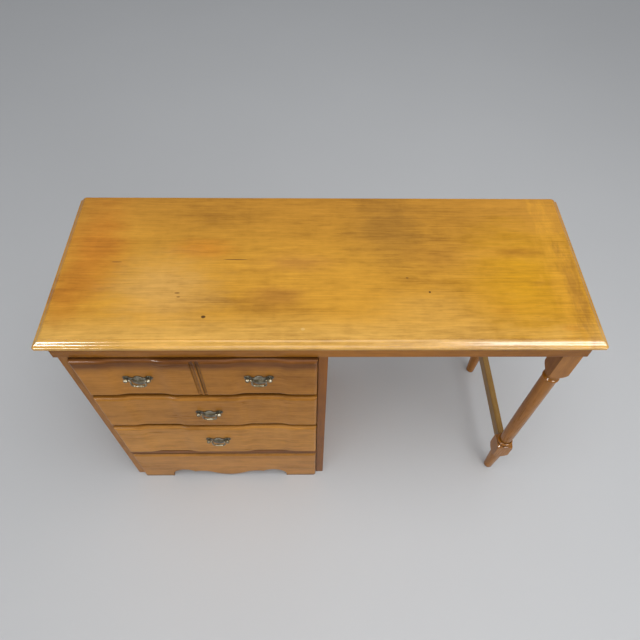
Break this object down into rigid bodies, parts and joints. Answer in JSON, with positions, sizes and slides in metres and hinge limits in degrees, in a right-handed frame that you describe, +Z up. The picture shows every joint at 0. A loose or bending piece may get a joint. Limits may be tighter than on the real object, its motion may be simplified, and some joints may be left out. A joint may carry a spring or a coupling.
{
  "type": "kneehole desk",
  "caption": "Maple kneehole desk with a moulded top, wavy-fronted drawers on bail pulls at the left, and turned legs joined by a stretcher at the right.",
  "frame": {"origin": "on the floor, under the middle of the desk's box", "axes": "+Z up, -Y towards the sitter, +X towards the desk's right as seen from the front"},
  "size_m": [1.219, 0.469, 0.749],
  "materials": {
    "maple_top": "glossy varnish over honey-stained maple",
    "maple": "satin varnish over brown-stained maple",
    "maple_inside": "unstained wood",
    "plywood": "unstained thin plywood",
    "brass": "aged, dark patina with worn highlights",
    "steel": "zinc plated"
  },
  "bodies": {
    "desk": {"desktop": "maple_top", "frieze_front_rail": "maple", "frieze_back_rail": "maple", "frieze_left_rail": "maple", "frieze_right_rail": "maple", "frieze_cross_rail": "maple", "corner_blocks": "maple_inside", "top_screws": "steel", "leg_bolts": "steel", "side_panel_left": "maple", "side_panel_right": "maple", "stile_left": "maple", "stile_right": "maple", "back_panel": "plywood", "drawer_rail_upper": "maple", "drawer_rail_middle": "maple", "drawer_rail_lower": "maple", "runners_upper": "maple_inside", "runners_middle": "maple_inside", "runners_lower": "maple_inside", "web_back_rails": "maple_inside", "kickers": "maple_inside", "drawer_stops": "maple_inside", "base_apron": "maple", "base_glue_blocks": "maple_inside", "front_leg": "maple", "rear_leg": "maple", "stretcher": "maple", "end_apron": "maple", "back_apron": "maple"},
    "top_drawer": {"top_drawer_front": "maple", "top_drawer_side_left": "maple_inside", "top_drawer_side_right": "maple_inside", "top_drawer_back": "maple_inside", "top_drawer_bottom": "plywood", "top_left_pull_plate": "brass", "top_left_pull_posts": "brass", "top_right_pull_plate": "brass", "top_right_pull_posts": "brass"},
    "middle_drawer": {"middle_drawer_front": "maple", "middle_drawer_side_left": "maple_inside", "middle_drawer_side_right": "maple_inside", "middle_drawer_back": "maple_inside", "middle_drawer_bottom": "plywood", "middle_pull_plate": "brass", "middle_pull_posts": "brass"},
    "bottom_drawer": {"bottom_drawer_front": "maple", "bottom_drawer_side_left": "maple_inside", "bottom_drawer_side_right": "maple_inside", "bottom_drawer_back": "maple_inside", "bottom_drawer_bottom": "plywood", "bottom_pull_plate": "brass", "bottom_pull_posts": "brass"},
    "top_left_bail": {"top_left_pull_bail": "brass"},
    "top_right_bail": {"top_right_pull_bail": "brass"},
    "middle_bail": {"middle_pull_bail": "brass"},
    "bottom_bail": {"bottom_pull_bail": "brass"}
  },
  "joints": [
    {"name": "top_drawer_slide", "type": "slide", "parent": "desk", "child": "top_drawer", "axis": [0, -1, 0], "range_m": [0, 0.315]},
    {"name": "middle_drawer_slide", "type": "slide", "parent": "desk", "child": "middle_drawer", "axis": [0, -1, 0], "range_m": [0, 0.315]},
    {"name": "bottom_drawer_slide", "type": "slide", "parent": "desk", "child": "bottom_drawer", "axis": [0, -1, 0], "range_m": [0, 0.315]},
    {"name": "top_left_bail_hinge", "type": "hinge", "parent": "top_drawer", "child": "top_left_bail", "pos_m": [-0.414, -0.225, 0.6275], "axis": [-1, 0, 0], "range_deg": [-6, 90]},
    {"name": "top_right_bail_hinge", "type": "hinge", "parent": "top_drawer", "child": "top_right_bail", "pos_m": [-0.142, -0.225, 0.6275], "axis": [-1, 0, 0], "range_deg": [-6, 90]},
    {"name": "middle_bail_hinge", "type": "hinge", "parent": "middle_drawer", "child": "middle_bail", "pos_m": [-0.278, -0.229, 0.4605], "axis": [-1, 0, 0], "range_deg": [-6, 90]},
    {"name": "bottom_bail_hinge", "type": "hinge", "parent": "bottom_drawer", "child": "bottom_bail", "pos_m": [-0.278, -0.229, 0.292], "axis": [-1, 0, 0], "range_deg": [-6, 90]}
  ]
}
